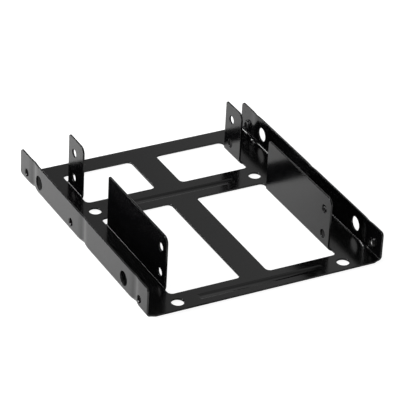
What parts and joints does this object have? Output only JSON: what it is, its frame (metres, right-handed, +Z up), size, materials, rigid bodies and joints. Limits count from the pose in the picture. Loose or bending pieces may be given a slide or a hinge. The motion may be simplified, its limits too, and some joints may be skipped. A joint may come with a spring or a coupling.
{
  "type": "drive bay adapter bracket",
  "caption": "Folded sheet steel bracket with side flanges and upright tabs, for stacking small drives in a larger drive bay.",
  "frame": {"origin": "under the middle of the bracket's outline, at the height of the two pressed ribs that it rests on", "axes": "+Z up from the flat sheet towards the tabs' tops, +Y along the bracket towards its rear end with the short tabs, +X across it to the right"},
  "size_m": [0.1016, 0.115, 0.0229],
  "materials": {
    "paint": "semi-gloss black paint, baked on steel sheet"
  },
  "bodies": {
    "root": {"bracket": "paint"}
  },
  "joints": []
}
